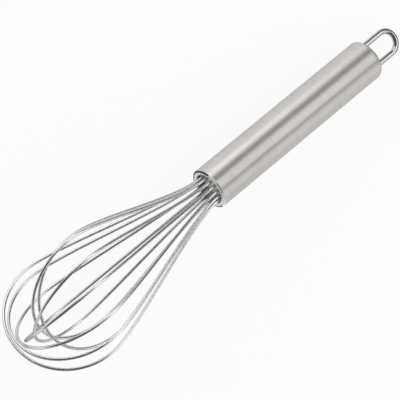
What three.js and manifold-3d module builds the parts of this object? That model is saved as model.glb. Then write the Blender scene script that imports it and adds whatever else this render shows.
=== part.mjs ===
// A stainless balloon whisk, lying on a table: tube handle, hanging loop and seven nested wire loops.
// Millimetres, +Z up. In its own group the whisk runs along X, with the mouth of the handle at x = 0,
// the tip of the wires towards +X and the hanging loop towards -X.
import * as THREE from "three";
import { mergeVertices } from "three/addons/utils/BufferGeometryUtils.js";
import Module from "manifold-3d";

// Handle
const HANDLE_RADIUS = 11;
const HANDLE_WALL = 0.7;
const TUBE_LENGTH = 114;
const LIP_INSIDE_BEND = 0.2;

// Rear end cap
const CAP_EDGE_ROUND = 2.6;
const CAP_DOME_RISE = 0.8;
const CAP_WALL = 1;
const CAP_SPIGOT_LENGTH = 6;

// Hanging loop
const HANGER_WIRE_DIAMETER = 3;
const HANGER_HALF_WIDTH = 6.2;
const HANGER_STAND_OUT = 23;
const HANGER_LEG_INSIDE = 5;

// Plug and sealant that hold the wire ends
const PLUG_RECESS = 3.5;
const PLUG_LENGTH = 14;
const PLUG_CHAMFER = 0.6;
const WIRE_END_LENGTH = 4;
const SEALANT_LENGTH = 6;

// Wire loops: the ring of ends in the plug
const WIRE_DIAMETER = 1.5;
const RING_INSET = 2.7;
const RING_PITCH = THREE.MathUtils.degToRad(22.5);

// Wire loops: the balloon. Loop 1 reaches furthest, and each next one passes inside the last at the tip.
const LONGEST_REACH = 127.5;
const TIP_CLEARANCES = [0.7, 0.6, 1.1, 3.4, 1.8, 0.6];
const LOOP_TURNS = [-53, -40, -12, 14, 34.5, 58, 74].map(THREE.MathUtils.degToRad);
const LOOP_HALF_WIDTHS = [29.9, 28.2, 29.6, 29.3, 32.5, 29.3, 29.3];
const LOOP_SWAYS = [2.9, 2.3, 2.7, 0.5, -0.9, -5, 1];
const NOSE_LENGTH = 32;
const NOSE_FULLNESS = 0.56;
const NECK_LENGTH = 20.5;
const SHOULDER_LENGTH = 17;

// Clearance between pieces that fit together, and how finely round forms are drawn
const FIT_GAP = 0.3;
const CUT_OVERRUN = 1;
const TURNED_SIDES = 48;
const ARC_STEPS = 4;
const HOLE_SIDES = 10;
const WIRE_SIDES = 8;
const WIRE_STEPS = 64;
const HANGER_SIDES = 12;
const HANGER_STEPS = 36;
const QUARTER_ARC = (4 / 3) * (Math.SQRT2 - 1);

const boreRadius = HANDLE_RADIUS - HANDLE_WALL;
const plugRadius = boreRadius - FIT_GAP;
const ringRadius = plugRadius - RING_INSET;
const wireHoleRadius = WIRE_DIAMETER / 2 + FIT_GAP;
const plugBack = -PLUG_RECESS - PLUG_LENGTH;
const wireEnd = plugBack - WIRE_END_LENGTH;
const capSeam = -TUBE_LENGTH - FIT_GAP;

const brushedSteel = () => new THREE.MeshStandardMaterial({ color: 0xc9c7c2, roughness: 0.38, metalness: 1 });
const polishedSteel = () => new THREE.MeshStandardMaterial({ color: 0xd2d2d0, roughness: 0.12, metalness: 1 });
const plainSteel = () => new THREE.MeshStandardMaterial({ color: 0x9a9a98, roughness: 0.5, metalness: 1 });
const castResin = () => new THREE.MeshStandardMaterial({ color: 0x4a4640, roughness: 0.6, metalness: 0 });

function namedMesh(name, geometry, material) {
  const mesh = new THREE.Mesh(geometry, material);
  mesh.name = name;
  return mesh;
}

// A form turned about the X axis. The outline's x is the radius and its y is the place along X.
function turned(outline) {
  const form = new THREE.LatheGeometry(outline.getPoints(ARC_STEPS), TURNED_SIDES);
  return form.rotateZ(-Math.PI / 2);
}

// A round wire along a path.
function drawnWire(path, diameter, sides, steps) {
  const section = new THREE.Shape();
  for (let i = 0; i < sides; i++) {
    const angle = (i / sides) * 2 * Math.PI;
    const x = (diameter / 2) * Math.cos(angle);
    const y = (diameter / 2) * Math.sin(angle);
    if (i === 0) section.moveTo(x, y);
    else section.lineTo(x, y);
  }
  section.closePath();
  return new THREE.ExtrudeGeometry(section, { extrudePath: path, steps, bevelEnabled: false });
}

const wasm = await Module();
wasm.setup();

function solidFrom(geometry) {
  const bare = geometry.clone();
  bare.deleteAttribute("normal");
  bare.deleteAttribute("uv");
  const merged = mergeVertices(bare, 1e-3);
  const vertProperties = merged.attributes.position.array;
  const triVerts = new Uint32Array(merged.index.array);
  return new wasm.Manifold(new wasm.Mesh({ numProp: 3, vertProperties, triVerts }));
}

// A form with round holes drilled along X. Each hole is { y, z, radius, from, to }.
function drilled(geometry, holes) {
  let solid = solidFrom(geometry);
  for (const { y, z, radius, from, to } of holes) {
    const drill = new THREE.CylinderGeometry(radius, radius, to - from, HOLE_SIDES);
    drill.rotateZ(Math.PI / 2);
    drill.translate((from + to) / 2, y, z);
    solid = solid.subtract(solidFrom(drill));
  }
  const mesh = solid.getMesh();
  const form = new THREE.BufferGeometry();
  form.setAttribute("position", new THREE.BufferAttribute(mesh.vertProperties, 3));
  form.setIndex(new THREE.BufferAttribute(mesh.triVerts, 1));
  form.computeVertexNormals();
  return form;
}

// The tube of the handle. Its front edge is rolled in to a flat lip that clears the ring of wires.
function makeHandleTube() {
  const lipBend = LIP_INSIDE_BEND + HANDLE_WALL;
  const lipTurn = HANDLE_RADIUS - lipBend;
  const lipHole = ringRadius + WIRE_DIAMETER / 2 + FIT_GAP;
  const outline = new THREE.Path();
  outline.moveTo(boreRadius, -TUBE_LENGTH);
  outline.lineTo(HANDLE_RADIUS, -TUBE_LENGTH);
  outline.absarc(lipTurn, -lipBend, lipBend, 0, Math.PI / 2);
  outline.lineTo(lipHole, 0);
  outline.lineTo(lipHole, -HANDLE_WALL);
  outline.absarc(lipTurn, -lipBend, LIP_INSIDE_BEND, Math.PI / 2, 0, true);
  outline.lineTo(boreRadius, -TUBE_LENGTH);
  return namedMesh("handle_tube", turned(outline), brushedSteel());
}

// The pressed cap: a domed end with a rounded edge, and a spigot that goes up the tube.
function makeEndCap() {
  const faceRadius = HANDLE_RADIUS - CAP_EDGE_ROUND;
  const spigotBore = plugRadius - CAP_WALL;
  const floor = capSeam - CAP_EDGE_ROUND + CAP_WALL;
  const top = capSeam + CAP_SPIGOT_LENGTH;
  const back = capSeam - CAP_EDGE_ROUND - CAP_DOME_RISE;
  const outline = new THREE.Path();
  outline.moveTo(0, back);
  outline.quadraticCurveTo(faceRadius / 2, back, faceRadius, capSeam - CAP_EDGE_ROUND);
  outline.absarc(faceRadius, capSeam, CAP_EDGE_ROUND, -Math.PI / 2, 0);
  outline.lineTo(plugRadius, capSeam);
  outline.lineTo(plugRadius, top);
  outline.lineTo(spigotBore, top);
  outline.lineTo(spigotBore, floor);
  outline.lineTo(0, floor);
  const radius = HANGER_WIRE_DIAMETER / 2 + FIT_GAP;
  const holes = [-1, 1].map((side) => ({
    y: side * HANGER_HALF_WIDTH,
    z: 0,
    radius,
    from: back - CUT_OVERRUN,
    to: floor + CUT_OVERRUN,
  }));
  return namedMesh("end_cap", drilled(turned(outline), holes), brushedSteel());
}

// The hanging loop: two straight legs joined by a half circle, lying level.
function makeHangingLoop() {
  const legEnd = capSeam + HANGER_LEG_INSIDE;
  const apex = capSeam - HANGER_STAND_OUT;
  const bend = apex + HANGER_HALF_WIDTH;
  const pull = HANGER_HALF_WIDTH * QUARTER_ARC;
  const at = (x, y) => new THREE.Vector3(x, y, 0);
  const path = new THREE.CurvePath();
  path.add(new THREE.LineCurve3(at(legEnd, -HANGER_HALF_WIDTH), at(bend, -HANGER_HALF_WIDTH)));
  path.add(
    new THREE.CubicBezierCurve3(
      at(bend, -HANGER_HALF_WIDTH),
      at(bend - pull, -HANGER_HALF_WIDTH),
      at(apex, -pull),
      at(apex, 0),
    ),
  );
  path.add(
    new THREE.CubicBezierCurve3(
      at(apex, 0),
      at(apex, pull),
      at(bend - pull, HANGER_HALF_WIDTH),
      at(bend, HANGER_HALF_WIDTH),
    ),
  );
  path.add(new THREE.LineCurve3(at(bend, HANGER_HALF_WIDTH), at(legEnd, HANGER_HALF_WIDTH)));
  const wire = drawnWire(path, HANGER_WIRE_DIAMETER, HANGER_SIDES, HANGER_STEPS);
  return namedMesh("hanging_loop", wire, polishedSteel());
}

const loopCount = LOOP_TURNS.length;

// Where a loop's two ends sit on the ring, as a turn from straight down. The third and fourth loops
// straddle straight down.
const ringTurn = (i) => (i - 2.5) * RING_PITCH;

// A point at a radius and a turn from straight down.
const around = (x, radius, turn) => new THREE.Vector3(x, radius * Math.sin(turn), -radius * Math.cos(turn));

// How far a loop reaches past the mouth: each one clears the loop outside it at the tip.
function loopReach(i) {
  const clearances = TIP_CLEARANCES.slice(0, i);
  return clearances.reduce((reach, clearance) => reach - clearance - WIRE_DIAMETER, LONGEST_REACH);
}

// The path of one loop: straight out of the plug, a slim neck, the shoulder at its widest, and the round
// nose. Sway leans the balloon of the loop sideways, more towards the tip.
function loopPath(i) {
  const reach = loopReach(i);
  const widest = reach - NOSE_LENGTH;
  const halfWidth = LOOP_HALF_WIDTHS[i];
  const lean = (x) => new THREE.Vector3(0, (LOOP_SWAYS[i] * x) / reach, 0);
  const balloon = (x, radius) => around(x, radius, LOOP_TURNS[i]).add(lean(x));
  const strand = (side) => {
    const radius = side * ringRadius;
    const out = side * halfWidth;
    return {
      end: around(wireEnd, radius, ringTurn(i)),
      mouth: around(0, radius, ringTurn(i)),
      neck: around(NECK_LENGTH, radius, ringTurn(i)),
      shoulder: balloon(widest - SHOULDER_LENGTH, out),
      side: balloon(widest, out),
      cheek: balloon(widest + NOSE_FULLNESS * NOSE_LENGTH, out),
      nose: balloon(reach, NOSE_FULLNESS * out),
    };
  };
  const one = strand(1);
  const two = strand(-1);
  const tip = balloon(reach, 0);
  const path = new THREE.CurvePath();
  path.add(new THREE.LineCurve3(one.end, one.mouth));
  path.add(new THREE.CubicBezierCurve3(one.mouth, one.neck, one.shoulder, one.side));
  path.add(new THREE.CubicBezierCurve3(one.side, one.cheek, one.nose, tip));
  path.add(new THREE.CubicBezierCurve3(tip, two.nose, two.cheek, two.side));
  path.add(new THREE.CubicBezierCurve3(two.side, two.shoulder, two.neck, two.mouth));
  path.add(new THREE.LineCurve3(two.mouth, two.end));
  return path;
}

const loopPaths = Array.from({ length: loopCount }, (_, i) => loopPath(i));

function makeWireLoops() {
  return loopPaths.map((path, i) => {
    const wire = drawnWire(path, WIRE_DIAMETER, WIRE_SIDES, WIRE_STEPS);
    return namedMesh("wire_loop_" + (i + 1), wire, polishedSteel());
  });
}

// The fourteen holes that take the wire ends.
function wireHoles(from, to) {
  const holes = [];
  for (let i = 0; i < loopCount; i++) {
    for (const side of [1, -1]) {
      const { y, z } = around(0, side * ringRadius, ringTurn(i));
      holes.push({ y, z, radius: wireHoleRadius, from, to });
    }
  }
  return holes;
}

// The plug just inside the mouth, drilled right through for the wires.
function makeWirePlug() {
  const front = -PLUG_RECESS;
  const outline = new THREE.Path();
  outline.moveTo(0, plugBack);
  outline.lineTo(plugRadius, plugBack);
  outline.lineTo(plugRadius, front - PLUG_CHAMFER);
  outline.lineTo(plugRadius - PLUG_CHAMFER, front);
  outline.lineTo(0, front);
  const holes = wireHoles(plugBack - CUT_OVERRUN, front + CUT_OVERRUN);
  return namedMesh("wire_plug", drilled(turned(outline), holes), plainSteel());
}

// The resin cast behind the plug, round the wire ends.
function makeWireSealant() {
  const front = plugBack - FIT_GAP;
  const back = plugBack - SEALANT_LENGTH;
  const outline = new THREE.Path();
  outline.moveTo(0, back);
  outline.lineTo(plugRadius, back);
  outline.lineTo(plugRadius, front);
  outline.lineTo(0, front);
  const holes = wireHoles(wireEnd - FIT_GAP, front + CUT_OVERRUN);
  return namedMesh("wire_sealant", drilled(turned(outline), holes), castResin());
}

const whisk = new THREE.Group();
whisk.add(makeHandleTube(), makeEndCap(), makeHangingLoop(), makeWirePlug(), makeWireSealant());
whisk.add(...makeWireLoops());

// The whisk lies on its lowest wires and on the rear edge of the tube, so its nose is tilted up.
const restSlopes = loopPaths
  .flatMap((path) => path.getSpacedPoints(4 * WIRE_STEPS))
  .map((point) => Math.atan2(WIRE_DIAMETER / 2 - point.z - HANDLE_RADIUS, point.x + TUBE_LENGTH));
whisk.rotation.y = -Math.max(...restSlopes);

// The origin is on the table, under the middle of the whisk.
const box = new THREE.Box3().setFromObject(whisk, true);
const middle = box.getCenter(new THREE.Vector3());
whisk.position.set(-middle.x, -middle.y, -box.min.z);

const part = new THREE.Group();
part.add(whisk);

export default part;
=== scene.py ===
from math import atan2, cos, degrees, pi, radians, sin

import bpy
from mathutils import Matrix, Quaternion, Vector


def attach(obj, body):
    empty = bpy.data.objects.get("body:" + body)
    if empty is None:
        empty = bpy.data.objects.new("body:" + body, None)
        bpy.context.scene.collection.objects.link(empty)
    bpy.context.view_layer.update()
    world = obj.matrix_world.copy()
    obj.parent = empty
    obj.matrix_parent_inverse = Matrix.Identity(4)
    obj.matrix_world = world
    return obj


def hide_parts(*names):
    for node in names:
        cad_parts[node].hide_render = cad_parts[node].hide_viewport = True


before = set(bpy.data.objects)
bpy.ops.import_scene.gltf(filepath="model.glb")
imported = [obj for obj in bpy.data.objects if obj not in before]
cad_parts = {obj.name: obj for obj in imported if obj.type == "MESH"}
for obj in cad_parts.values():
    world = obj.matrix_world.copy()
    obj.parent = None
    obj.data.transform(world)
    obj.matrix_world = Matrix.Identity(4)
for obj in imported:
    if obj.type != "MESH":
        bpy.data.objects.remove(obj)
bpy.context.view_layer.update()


# Camera
# A long lens looks steeply down on the whisk and is turned on its side, so that the handle
# points to the upper right of the picture and the wires to the lower left.
CAMERA_AIM = Vector((0.01144, 0.00167, 0.01997))
CAMERA_DISTANCE = 1.0509
CAMERA_AZIMUTH = radians(53.72)
CAMERA_ELEVATION = radians(64.86)
CAMERA_ROLL = radians(91.02)
CAMERA_LENS_MM = 193.5

to_camera = Vector((
    sin(CAMERA_AZIMUTH) * cos(CAMERA_ELEVATION),
    -cos(CAMERA_AZIMUTH) * cos(CAMERA_ELEVATION),
    sin(CAMERA_ELEVATION),
))
bpy.ops.object.camera_add(location=CAMERA_AIM + to_camera * CAMERA_DISTANCE)
camera = bpy.context.object
camera.rotation_mode = "QUATERNION"
level_view = (-to_camera).to_track_quat("-Z", "Y")
camera.rotation_quaternion = level_view @ Quaternion((0, 0, 1), CAMERA_ROLL)
camera.data.lens = CAMERA_LENS_MM
bpy.context.scene.camera = camera
bpy.context.scene.view_settings.view_transform = "Standard"


# Floor and studio
# A wide white sheet lies under the whisk. One large softbox hangs over the handle end of the
# whisk, and two low ones stand beside it in a dim room, so that steel shows pale bands with dark
# ones between them.
FLOOR_SIZE = 8.0
FLOOR_WHITE = (0.79, 0.80, 0.81, 1)
FLOOR_GLOW = 0.88
ROOM_DARK = (0.13, 0.125, 0.12, 1)
FILL_WHITE = (0.75, 0.75, 0.75, 1)
SOFTBOX_WARMTH = (1.0, 0.98, 0.95)
SOFTBOX_DISTANCE = 1.6
# A lamp's power in watts, for each unit of radiance and square metre.
SOFTBOX_POWER = 4
# Direction from the whisk, level width, climbing height, and radiance.
SOFTBOXES = {
    "softbox_top": ((-0.50, -0.02, 0.86), 1.20, 0.75, 1.56),
    "softbox_low": ((-0.18, -0.92, 0.325), 1.20, 0.92, 1.70),
    "softbox_side": ((-0.45, 0.80, 0.47), 1.00, 1.40, 0.89),
}


def node(tree, kind, inputs=None, **settings):
    made = tree.nodes.new(kind)
    for name, value in settings.items():
        setattr(made, name, value)
    for socket, value in (inputs or {}).items():
        if isinstance(value, bpy.types.NodeSocket):
            tree.links.new(value, made.inputs[socket])
        else:
            made.inputs[socket].default_value = value
    return made


def empty_material(name):
    material = bpy.data.materials.new(name)
    material.use_nodes = True
    material.node_tree.nodes.clear()
    return material


def white_sheet():
    material = empty_material("white_sheet")
    tree = material.node_tree
    rays = node(tree, "ShaderNodeLightPath")
    reflected = node(
        tree, "ShaderNodeMath",
        {0: rays.outputs["Is Glossy Ray"], 1: rays.outputs["Is Transmission Ray"]},
        operation="MAXIMUM",
    )
    seen = node(
        tree, "ShaderNodeMath",
        {0: rays.outputs["Is Camera Ray"], 1: reflected.outputs[0]},
        operation="MAXIMUM",
    )
    share = node(
        tree, "ShaderNodeMath",
        {0: seen.outputs[0], 1: FLOOR_GLOW},
        operation="MULTIPLY",
    )
    paper = node(tree, "ShaderNodeBsdfDiffuse", {"Color": FLOOR_WHITE})
    glow = node(tree, "ShaderNodeEmission", {"Color": (1, 1, 1, 1), "Strength": 1.0})
    mixed = node(
        tree, "ShaderNodeMixShader",
        {0: share.outputs[0], 1: paper.outputs[0], 2: glow.outputs[0]},
    )
    node(tree, "ShaderNodeOutputMaterial", {"Surface": mixed.outputs[0]})
    return material


bpy.ops.object.select_all(action="DESELECT")
bpy.ops.mesh.primitive_plane_add(size=FLOOR_SIZE)
floor = bpy.context.object
floor.name = "floor"
floor.data.materials.append(white_sheet())

world = bpy.data.worlds.new("studio")
bpy.context.scene.world = world
world.use_nodes = True
studio = world.node_tree
studio.nodes.clear()
ray = node(studio, "ShaderNodeLightPath")
# The room is dim where steel mirrors it, and pale for soft light and the camera. A Mix node's colours
# are its inputs 6 and 7 and its output 2.
mirrored = node(
    studio, "ShaderNodeMix",
    {0: ray.outputs["Is Glossy Ray"], 6: FILL_WHITE, 7: ROOM_DARK},
    data_type="RGBA",
)
light = node(studio, "ShaderNodeBackground", {"Color": mirrored.outputs[2], "Strength": 1.0})
node(studio, "ShaderNodeOutputWorld", {"Surface": light.outputs[0]})

for name, (direction, width, height, radiance) in SOFTBOXES.items():
    away = Vector(direction).normalized()
    bpy.ops.object.light_add(type="AREA", location=away * SOFTBOX_DISTANCE)
    softbox = bpy.context.object
    softbox.name = name
    softbox.rotation_euler = away.to_track_quat("Z", "Y").to_euler()
    softbox.data.color = SOFTBOX_WARMTH
    softbox.data.shape = "RECTANGLE"
    softbox.data.size = width
    softbox.data.size_y = height
    softbox.data.energy = SOFTBOX_POWER * radiance * width * height
    softbox.visible_camera = False


# Handle tube
# A drawn stainless tube, 22 mm across with a wall of 0.7 mm, ground satin while it turns. Its front
# edge is rolled in to a burnished lip round the wires. A dark reflection is painted into the bend
# at both sides and in a thin line on top. The bore keeps the dull grey of the drawing.
HANDLE_RADIUS = 0.011
HANDLE_WALL = 0.0007
TUBE_LENGTH = 0.114
LIP_INSIDE_BEND = 0.0002
LIP_HOLE_RADIUS = 0.00835
LIP_STEPS = 8
LIP_BEND_INSET = 0.0001
# How far over the bend a face lies: 0 is the tube's side, and 1 is the flat of the lip.
LIP_START = 0.1
DARK_REFLECTION_START = 0.3
# Where a dark reflection is painted on the lip, in degrees round the lip from its top as the whisk
# lies, and how far over the bend it goes there. A little more than 1 takes in the flat.
DARK_REFLECTION_SIDES = ((-155, -44, 1.01), (-14, 14, 0.7), (75, 130, 1.01))
TURNED_SIDES = 144
MERGE_DISTANCE = 1e-6
SHARP_EDGE = radians(35)
# The whisk is modelled standing, with its mouth at the origin and its wires pointing up, and
# is then laid down on its rear rim and its wires.
MOUTH_PLACE = Vector((0.00526, -0.00026, 0.02138))
LYING_TILT = radians(5.236)
LYING_TURN = (0, pi / 2 - LYING_TILT, 0)
whisk_axis = Vector((cos(LYING_TILT), 0, sin(LYING_TILT)))


def pick(piece):
    bpy.ops.object.select_all(action="DESELECT")
    piece.select_set(True)
    bpy.context.view_layer.objects.active = piece


def extrude_ring(old_radius, new_radius, rise, level):
    """Draws the selected ring on by the rise and changes its radius, about the whisk's axis."""
    bpy.ops.mesh.extrude_edges_move(TRANSFORM_OT_translate={"value": (0, 0, rise)})
    growth = new_radius / old_radius
    bpy.ops.transform.resize(value=(growth, growth, 1), center_override=(0, 0, level))


def turn_up(name, outline):
    """Turns an outline of (radius, height) points about the axis; the last point closes it."""
    bpy.ops.object.select_all(action="DESELECT")
    radius, level = outline[0]
    bpy.ops.mesh.primitive_circle_add(vertices=TURNED_SIDES, radius=radius, location=(0, 0, level))
    piece = bpy.context.object
    piece.name = name
    bpy.ops.object.transform_apply(location=True, rotation=True, scale=True)
    bpy.ops.object.mode_set(mode="EDIT")
    bpy.ops.mesh.select_all(action="SELECT")
    for new_radius, new_level in outline[1:]:
        extrude_ring(radius, new_radius, new_level - level, new_level)
        radius, level = new_radius, new_level
    bpy.ops.mesh.select_all(action="SELECT")
    bpy.ops.mesh.remove_doubles(threshold=MERGE_DISTANCE)
    bpy.ops.mesh.normals_make_consistent(inside=False)
    bpy.ops.object.mode_set(mode="OBJECT")
    return piece


def lay_down(piece):
    pick(piece)
    piece.location = MOUTH_PLACE
    piece.rotation_euler = LYING_TURN
    bpy.ops.object.transform_apply(location=True, rotation=True, scale=True)


def standing_place(tree):
    """Where a point is on the standing whisk: Z runs along the axis from the mouth."""
    coordinates = node(tree, "ShaderNodeTexCoord")
    return node(
        tree, "ShaderNodeMapping",
        {"Vector": coordinates.outputs["Object"], "Location": MOUTH_PLACE, "Rotation": LYING_TURN},
        vector_type="TEXTURE",
    ).outputs[0]


def stretched_noise(tree, place, across, along, detail):
    spread = node(
        tree, "ShaderNodeMapping",
        {"Vector": place, "Scale": (across, across, along)},
    )
    return node(
        tree, "ShaderNodeTexNoise",
        {"Vector": spread.outputs[0], "Scale": 1.0, "Detail": detail, "Roughness": 0.6},
    ).outputs[0]


def satin_ground_steel():
    material = empty_material("satin_ground_steel")
    tree = material.node_tree
    place = standing_place(tree)
    wide_grain = stretched_noise(tree, place, 70, 700, 3)
    fine_grain = stretched_noise(tree, place, 160, 5200, 4)
    grain = node(
        tree, "ShaderNodeMath",
        {0: wide_grain, 1: fine_grain},
        operation="ADD",
    )
    tone = node(tree, "ShaderNodeValToRGB", {"Fac": node(
        tree, "ShaderNodeMath", {0: grain.outputs[0], 1: 0.5}, operation="MULTIPLY",
    ).outputs[0]})
    tone.color_ramp.elements[0].position = 0.25
    tone.color_ramp.elements[0].color = (0.54, 0.527, 0.51, 1)
    tone.color_ramp.elements[1].position = 0.75
    tone.color_ramp.elements[1].color = (0.666, 0.65, 0.633, 1)
    rough = node(
        tree, "ShaderNodeMapRange",
        {"Value": fine_grain, "From Min": 0.3, "From Max": 0.7, "To Min": 0.32, "To Max": 0.44},
    )
    scratches = node(
        tree, "ShaderNodeBump",
        {"Height": fine_grain, "Strength": 0.12, "Distance": 0.00003},
    )
    run = node(tree, "ShaderNodeCombineXYZ", {0: whisk_axis.x, 1: whisk_axis.y, 2: whisk_axis.z})
    steel = node(
        tree, "ShaderNodeBsdfPrincipled",
        {
            "Base Color": tone.outputs[0],
            "Metallic": 0.74,
            "Roughness": rough.outputs[0],
            "Anisotropic": 0.7,
            "Specular Tint": (0.55, 0.55, 0.55, 1),
            "Tangent": run.outputs[0],
            "Normal": scratches.outputs[0],
        },
    )
    node(tree, "ShaderNodeOutputMaterial", {"Surface": steel.outputs[0]})
    return material


def drawn_bore_steel():
    material = empty_material("drawn_bore_steel")
    tree = material.node_tree
    draw_marks = stretched_noise(tree, standing_place(tree), 1800, 60, 3)
    tone = node(tree, "ShaderNodeValToRGB", {"Fac": draw_marks})
    tone.color_ramp.elements[0].position = 0.3
    tone.color_ramp.elements[0].color = (0.70, 0.70, 0.71, 1)
    tone.color_ramp.elements[1].position = 0.7
    tone.color_ramp.elements[1].color = (0.84, 0.84, 0.85, 1)
    rough = node(
        tree, "ShaderNodeMapRange",
        {"Value": draw_marks, "From Min": 0.3, "From Max": 0.7, "To Min": 0.45, "To Max": 0.6},
    )
    steel = node(
        tree, "ShaderNodeBsdfPrincipled",
        {"Base Color": tone.outputs[0], "Metallic": 0.25, "Roughness": rough.outputs[0]},
    )
    node(tree, "ShaderNodeOutputMaterial", {"Surface": steel.outputs[0]})
    return material


def burnished_lip_steel():
    material = empty_material("burnished_lip_steel")
    tree = material.node_tree
    burnish = stretched_noise(tree, standing_place(tree), 300, 9000, 2)
    tone = node(tree, "ShaderNodeValToRGB", {"Fac": burnish})
    tone.color_ramp.elements[0].position = 0.3
    tone.color_ramp.elements[0].color = (0.70, 0.70, 0.695, 1)
    tone.color_ramp.elements[1].position = 0.7
    tone.color_ramp.elements[1].color = (0.82, 0.82, 0.815, 1)
    steel = node(
        tree, "ShaderNodeBsdfPrincipled",
        {"Base Color": tone.outputs[0], "Metallic": 0.4, "Roughness": 0.3},
    )
    node(tree, "ShaderNodeOutputMaterial", {"Surface": steel.outputs[0]})
    return material


# A near-black tone, a painted dark reflection for parts of the lip's bend.
def painted_dark_reflection():
    material = empty_material("painted_dark_reflection")
    tree = material.node_tree
    patches = stretched_noise(tree, standing_place(tree), 500, 3000, 3)
    tone = node(tree, "ShaderNodeValToRGB", {"Fac": patches})
    tone.color_ramp.elements[0].position = 0.3
    tone.color_ramp.elements[0].color = (0.02, 0.02, 0.02, 1)
    tone.color_ramp.elements[1].position = 0.7
    tone.color_ramp.elements[1].color = (0.06, 0.058, 0.055, 1)
    polish = node(
        tree, "ShaderNodeBsdfPrincipled",
        {"Base Color": tone.outputs[0], "Roughness": 0.7, "Specular IOR Level": 0.2},
    )
    node(tree, "ShaderNodeOutputMaterial", {"Surface": polish.outputs[0]})
    return material


def arc(radius, level, bend, start, sweep):
    """Points of (radius, height) on an arc about a point of the outline."""
    turns = [start + sweep * step / LIP_STEPS for step in range(LIP_STEPS + 1)]
    return [(radius + bend * cos(turn), level + bend * sin(turn)) for turn in turns]


bore_radius = HANDLE_RADIUS - HANDLE_WALL
lip_bend = LIP_INSIDE_BEND + HANDLE_WALL
lip_turn = HANDLE_RADIUS - lip_bend
half_wall = HANDLE_WALL / 2
tube_outline = [(bore_radius, -TUBE_LENGTH)]
tube_outline += arc(lip_turn, -lip_bend, LIP_INSIDE_BEND, 0, pi / 2)
tube_outline += arc(LIP_HOLE_RADIUS + half_wall, -half_wall, half_wall, -pi / 2, -pi)
tube_outline.append((lip_turn - LIP_BEND_INSET, 0))
tube_outline += arc(lip_turn, -lip_bend, lip_bend, pi / 2, -pi / 2)
tube_outline.append((HANDLE_RADIUS, -TUBE_LENGTH))
tube_outline.append((bore_radius, -TUBE_LENGTH))
handle_tube = turn_up("ground_handle_tube", tube_outline)
bpy.ops.object.shade_smooth_by_angle(angle=SHARP_EDGE)
satin_steel = satin_ground_steel()
handle_tube.data.materials.append(satin_steel)
handle_tube.data.materials.append(drawn_bore_steel())
handle_tube.data.materials.append(burnished_lip_steel())
handle_tube.data.materials.append(painted_dark_reflection())
# Faces in the listed parts of the bend take the painted dark reflection; the rest of the lip is
# burnished steel, and the bore is drawn steel.
for face in handle_tube.data.polygons:
    face_radius = face.center.to_2d().length
    turn = degrees(atan2(face.center.y, -face.center.x))
    lean = face.normal.z
    in_dark_reflection = any(start < turn < end and lean < over for start, end, over in DARK_REFLECTION_SIDES)
    in_bend = face_radius > lip_turn - LIP_BEND_INSET and lean > DARK_REFLECTION_START
    if in_bend and in_dark_reflection:
        face.material_index = 3
    elif lean > LIP_START:
        face.material_index = 2
    elif face_radius < bore_radius + half_wall:
        face.material_index = 1
lay_down(handle_tube)
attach(handle_tube, "root")
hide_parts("handle_tube")


# End cap
# A stainless cap, pressed to a low dome with a rounded edge. Its spigot goes up the tube, and
# the seam is welded and ground over with the tube. The dome is darkened as painted shade, which
# draws a dark line along the cap's rear edge, and two holes in it take the legs of the loop.
CAP_SEAM = -TUBE_LENGTH - 0.0003
WELD_LINE = -TUBE_LENGTH - 0.00002
CAP_EDGE_ROUND = 0.0026
CAP_DOME_RISE = 0.0008
CAP_WALL = 0.001
CAP_SPIGOT_LENGTH = 0.006
CAP_SPIGOT_RADIUS = 0.0100
EDGE_STEPS = 10
DOME_STEPS = 8
NEARLY_AXIS = 0.000001
HANGER_RADIUS = 0.0015
HANGER_HALF_WIDTH = 0.0062
LEG_CLEARANCE = 0.0002
LEG_HOLE_RADIUS = HANGER_RADIUS + LEG_CLEARANCE
DRILL_SIDES = 48
DRILL_LENGTH = 0.012
# Faces that lean back further than this belong to the dome and take its painted shade.
DOME_LEAN = -0.4


# A dark tone, painted shade on the dome that draws a dark line along the cap's rear edge.
def painted_shade_dome_steel():
    material = empty_material("painted_shade_dome_steel")
    tree = material.node_tree
    dome_mottle = stretched_noise(tree, standing_place(tree), 900, 900, 4)
    tone = node(tree, "ShaderNodeValToRGB", {"Fac": dome_mottle})
    tone.color_ramp.elements[0].position = 0.3
    tone.color_ramp.elements[0].color = (0.17, 0.165, 0.16, 1)
    tone.color_ramp.elements[1].position = 0.7
    tone.color_ramp.elements[1].color = (0.25, 0.245, 0.24, 1)
    rough = node(
        tree, "ShaderNodeMapRange",
        {"Value": dome_mottle, "From Min": 0.3, "From Max": 0.7, "To Min": 0.3, "To Max": 0.42},
    )
    peel = node(
        tree, "ShaderNodeBump",
        {"Height": dome_mottle, "Strength": 0.1, "Distance": 0.00005},
    )
    steel = node(
        tree, "ShaderNodeBsdfPrincipled",
        {
            "Base Color": tone.outputs[0],
            "Metallic": 0.6,
            "Roughness": rough.outputs[0],
            "Normal": peel.outputs[0],
        },
    )
    node(tree, "ShaderNodeOutputMaterial", {"Surface": steel.outputs[0]})
    return material


dome_radius = HANDLE_RADIUS - CAP_EDGE_ROUND
spigot_bore = CAP_SPIGOT_RADIUS - CAP_WALL
cap_floor = CAP_SEAM - CAP_EDGE_ROUND + CAP_WALL
cap_back = CAP_SEAM - CAP_EDGE_ROUND - CAP_DOME_RISE
cap_outline = [(NEARLY_AXIS, cap_floor), (spigot_bore, cap_floor)]
cap_outline.append((spigot_bore, CAP_SEAM + CAP_SPIGOT_LENGTH))
cap_outline.append((CAP_SPIGOT_RADIUS, CAP_SEAM + CAP_SPIGOT_LENGTH))
cap_outline.append((CAP_SPIGOT_RADIUS, WELD_LINE))
cap_outline.append((HANDLE_RADIUS, WELD_LINE))
for step in range(EDGE_STEPS + 1):
    turn = pi / 2 * step / EDGE_STEPS
    cap_outline.append((
        dome_radius + CAP_EDGE_ROUND * cos(turn),
        CAP_SEAM - CAP_EDGE_ROUND * sin(turn),
    ))
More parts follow.
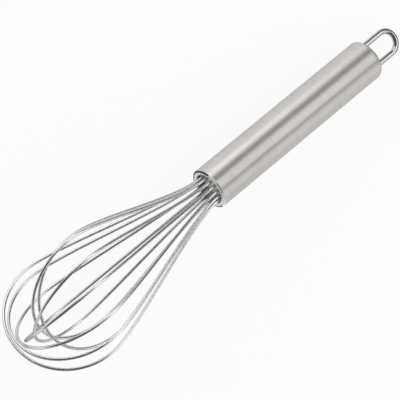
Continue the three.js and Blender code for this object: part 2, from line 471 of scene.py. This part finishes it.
for step in range(1, DOME_STEPS + 1):
    share = max(1 - step / DOME_STEPS, NEARLY_AXIS / dome_radius)
    cap_outline.append((dome_radius * share, cap_back + CAP_DOME_RISE * share ** 2))
end_cap = turn_up("ground_end_cap", cap_outline)

for side in (1, -1):
    bpy.ops.object.select_all(action="DESELECT")
    bpy.ops.mesh.primitive_cylinder_add(
        vertices=DRILL_SIDES,
        radius=LEG_HOLE_RADIUS,
        depth=DRILL_LENGTH,
        location=(0, side * HANGER_HALF_WIDTH, cap_back),
    )
    drill = bpy.context.object
    pick(end_cap)
    bpy.ops.object.modifier_add(type="BOOLEAN")
    leg_hole = end_cap.modifiers[-1]
    leg_hole.operation = "DIFFERENCE"
    leg_hole.solver = "EXACT"
    leg_hole.object = drill
    bpy.ops.object.modifier_apply(modifier=leg_hole.name)
    bpy.data.objects.remove(drill)
bpy.ops.object.shade_smooth_by_angle(angle=SHARP_EDGE)
end_cap.data.materials.append(satin_steel)
end_cap.data.materials.append(painted_shade_dome_steel())
for face in end_cap.data.polygons:
    if face.normal.z < DOME_LEAN:
        face.material_index = 1
lay_down(end_cap)
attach(end_cap, "root")
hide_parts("end_cap")


# Hanging loop
# Stainless wire 3 mm thick, bent to a U and polished. Its two legs go straight into the holes
# in the end cap, where they are welded from inside.
HANGER_STAND_OUT = 0.023
HANGER_LEG_INSIDE = 0.005
HANGER_SIDES = 32
BEND_STEPS = 48
leg_end = CAP_SEAM + HANGER_LEG_INSIDE
bend_level = CAP_SEAM - HANGER_STAND_OUT + HANGER_HALF_WIDTH


def polished_steel(name, dark_tone, light_tone, smooth, hazy):
    material = empty_material(name)
    tree = material.node_tree
    coordinates = node(tree, "ShaderNodeTexCoord").outputs["Object"]
    haze = node(
        tree, "ShaderNodeTexNoise",
        {"Vector": coordinates, "Scale": 900.0, "Detail": 4.0, "Roughness": 0.6},
    ).outputs[0]
    marks = node(
        tree, "ShaderNodeTexNoise",
        {"Vector": coordinates, "Scale": 3500.0, "Detail": 3.0, "Roughness": 0.5},
    ).outputs[0]
    tone = node(tree, "ShaderNodeValToRGB", {"Fac": haze})
    tone.color_ramp.elements[0].position = 0.3
    tone.color_ramp.elements[0].color = dark_tone
    tone.color_ramp.elements[1].position = 0.7
    tone.color_ramp.elements[1].color = light_tone
    rough = node(
        tree, "ShaderNodeMapRange",
        {"Value": haze, "From Min": 0.3, "From Max": 0.7, "To Min": smooth, "To Max": hazy},
    )
    dents = node(
        tree, "ShaderNodeBump",
        {"Height": marks, "Strength": 0.02, "Distance": 0.00001},
    )
    steel = node(
        tree, "ShaderNodeBsdfPrincipled",
        {
            "Base Color": tone.outputs[0],
            "Metallic": 1.0,
            "Roughness": rough.outputs[0],
            "Specular Tint": (0.4, 0.4, 0.4, 1),
            "Normal": dents.outputs[0],
        },
    )
    node(tree, "ShaderNodeOutputMaterial", {"Surface": steel.outputs[0]})
    return material


bpy.ops.object.select_all(action="DESELECT")
bpy.ops.mesh.primitive_circle_add(
    vertices=HANGER_SIDES,
    radius=HANGER_RADIUS,
    fill_type="NGON",
    location=(0, HANGER_HALF_WIDTH, leg_end),
)
hanging_loop = bpy.context.object
hanging_loop.name = "bright_hanging_loop"
bpy.ops.object.transform_apply(location=True, rotation=True, scale=True)
bpy.ops.object.mode_set(mode="EDIT")
bpy.ops.mesh.select_all(action="SELECT")
bpy.ops.mesh.extrude_region_move(TRANSFORM_OT_translate={"value": (0, 0, bend_level - leg_end)})
bpy.ops.mesh.spin(
    steps=BEND_STEPS,
    angle=pi,
    center=(0, 0, bend_level),
    axis=(1, 0, 0),
)
bpy.ops.mesh.extrude_region_move(TRANSFORM_OT_translate={"value": (0, 0, leg_end - bend_level)})
bpy.ops.mesh.select_all(action="SELECT")
bpy.ops.mesh.remove_doubles(threshold=MERGE_DISTANCE)
bpy.ops.mesh.normals_make_consistent(inside=False)
bpy.ops.object.mode_set(mode="OBJECT")
bpy.ops.object.shade_smooth_by_angle(angle=SHARP_EDGE)
# The loop's steel has a darker tone than the wires' steel, which paints in the dark reflections along
# its legs.
hanging_loop.data.materials.append(polished_steel(
    "mirror_polished_steel", (0.45, 0.455, 0.465, 1), (0.53, 0.535, 0.545, 1), 0.12, 0.18,
))
lay_down(hanging_loop)
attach(hanging_loop, "root")
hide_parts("hanging_loop")


# Wire plug
# A turned steel plug pressed into the tube, just inside the mouth. Fourteen drilled holes in a
# ring hold the wire ends.
def turned_steel():
    material = empty_material("turned_steel")
    tree = material.node_tree
    place = standing_place(tree)
    rings = node(
        tree, "ShaderNodeTexWave",
        {"Vector": place, "Scale": 900.0, "Distortion": 1.5, "Detail": 2.0},
        wave_type="RINGS",
        rings_direction="Z",
    )
    tone = node(tree, "ShaderNodeValToRGB", {"Fac": rings.outputs[1]})
    tone.color_ramp.elements[0].color = (0.62, 0.62, 0.61, 1)
    tone.color_ramp.elements[1].color = (0.76, 0.76, 0.75, 1)
    rough = node(
        tree, "ShaderNodeMapRange",
        {"Value": rings.outputs[1], "To Min": 0.38, "To Max": 0.55},
    )
    grooves = node(
        tree, "ShaderNodeBump",
        {"Height": rings.outputs[1], "Strength": 0.25, "Distance": 0.00005},
    )
    steel = node(
        tree, "ShaderNodeBsdfPrincipled",
        {
            "Base Color": tone.outputs[0],
            "Metallic": 0.3,
            "Roughness": rough.outputs[0],
            "Normal": grooves.outputs[0],
        },
    )
    node(tree, "ShaderNodeOutputMaterial", {"Surface": steel.outputs[0]})
    return material


plug_steel = turned_steel()
for plug_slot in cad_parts["wire_plug"].material_slots:
    plug_slot.material = plug_steel


# Resin behind the plug
# Casting resin poured in behind the plug locks the wire ends and keeps water out of the handle.
def casting_resin():
    material = empty_material("casting_resin")
    tree = material.node_tree
    coordinates = node(tree, "ShaderNodeTexCoord").outputs["Object"]
    cloud = node(
        tree, "ShaderNodeTexNoise",
        {"Vector": coordinates, "Scale": 400.0, "Detail": 5.0, "Roughness": 0.6},
    ).outputs[0]
    tone = node(tree, "ShaderNodeValToRGB", {"Fac": cloud})
    tone.color_ramp.elements[0].color = (0.05, 0.048, 0.042, 1)
    tone.color_ramp.elements[1].color = (0.09, 0.086, 0.075, 1)
    waves = node(
        tree, "ShaderNodeBump",
        {"Height": cloud, "Strength": 0.2, "Distance": 0.0002},
    )
    resin = node(
        tree, "ShaderNodeBsdfPrincipled",
        {"Base Color": tone.outputs[0], "Roughness": 0.35, "Normal": waves.outputs[0]},
    )
    node(tree, "ShaderNodeOutputMaterial", {"Surface": resin.outputs[0]})
    return material


resin = casting_resin()
for resin_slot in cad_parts["wire_sealant"].material_slots:
    resin_slot.material = resin


# Wire loops
# Seven loops of hard stainless wire, 1.5 mm thick, bent to a balloon and polished. The longest
# goes in first; each next one is turned further round and passes inside it at the tip.
WIRE_RADIUS = 0.00075
WIRE_END = -0.0215
RING_RADIUS = 0.0073
RING_PITCH = radians(22.5)
LONGEST_REACH = 0.1275
TIP_CLEARANCES = (0.0007, 0.0006, 0.0011, 0.0034, 0.0018, 0.0006)
LOOP_TURNS = (-53, -40, -12, 14, 34.5, 58, 74)
LOOP_HALF_WIDTHS = (0.0299, 0.0282, 0.0296, 0.0293, 0.0325, 0.0293, 0.0293)
LOOP_SWAYS = (0.0029, 0.0023, 0.0027, 0.0005, -0.0009, -0.005, 0.001)
NOSE_LENGTH = 0.032
NOSE_FULLNESS = 0.56
NECK_LENGTH = 0.0205
SHOULDER_LENGTH = 0.017
CURVE_STEPS = 36
WIRE_ROUNDNESS = 6


def around(along, radius, turn):
    return Vector((radius * cos(turn), radius * sin(turn), along))


def loop_points(index, reach):
    """The loop's corners from wire end to wire end, each with the handles of its curve."""
    ring_turn = (index - 2.5) * RING_PITCH
    turn = radians(LOOP_TURNS[index])
    widest = reach - NOSE_LENGTH
    half_width = LOOP_HALF_WIDTHS[index]

    def balloon(along, radius):
        sway = Vector((0, LOOP_SWAYS[index] * along / reach, 0))
        return around(along, radius, turn) + sway

    def strand(side):
        end = around(WIRE_END, side * RING_RADIUS, ring_turn)
        mouth = around(0, side * RING_RADIUS, ring_turn)
        neck = around(NECK_LENGTH, side * RING_RADIUS, ring_turn)
        shoulder = balloon(widest - SHOULDER_LENGTH, side * half_width)
        widest_point = balloon(widest, side * half_width)
        cheek = balloon(widest + NOSE_FULLNESS * NOSE_LENGTH, side * half_width)
        straight_out = end + (mouth - end) / 3
        straight_in = mouth - (mouth - end) / 3
        return [
            (end - (mouth - end) / 3, end, straight_out),
            (straight_in, mouth, neck),
            (shoulder, widest_point, cheek),
        ]

    noses = [balloon(reach, side * NOSE_FULLNESS * half_width) for side in (1, -1)]
    tip = (noses[0], balloon(reach, 0), noses[1])
    way_back = [(after, point, before) for before, point, after in reversed(strand(-1))]
    return strand(1) + [tip] + way_back


bright_steel = polished_steel(
    "polished_wire_steel", (0.665, 0.67, 0.68, 1), (0.725, 0.73, 0.74, 1), 0.22, 0.28,
)
reach = LONGEST_REACH
for index in range(len(LOOP_TURNS)):
    if index > 0:
        reach -= TIP_CLEARANCES[index - 1] + 2 * WIRE_RADIUS
    bpy.ops.object.select_all(action="DESELECT")
    bpy.ops.curve.primitive_bezier_curve_add()
    wire = bpy.context.object
    wire.name = f"bright_wire_loop_{index + 1}"
    points = loop_points(index, reach)
    spline = wire.data.splines[0]
    spline.bezier_points.add(len(points) - len(spline.bezier_points))
    for corner, (before, point, after) in zip(spline.bezier_points, points):
        corner.handle_left_type = "FREE"
        corner.handle_right_type = "FREE"
        corner.co = point
        corner.handle_left = before
        corner.handle_right = after
    wire.data.dimensions = "3D"
    wire.data.resolution_u = CURVE_STEPS
    wire.data.bevel_depth = WIRE_RADIUS
    wire.data.bevel_resolution = WIRE_ROUNDNESS
    wire.data.use_fill_caps = True
    bpy.ops.object.convert(target="MESH")
    bpy.ops.object.shade_smooth_by_angle(angle=SHARP_EDGE)
    wire.data.materials.clear()
    wire.data.materials.append(bright_steel)
    lay_down(wire)
    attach(wire, "root")
    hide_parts(f"wire_loop_{index + 1}")
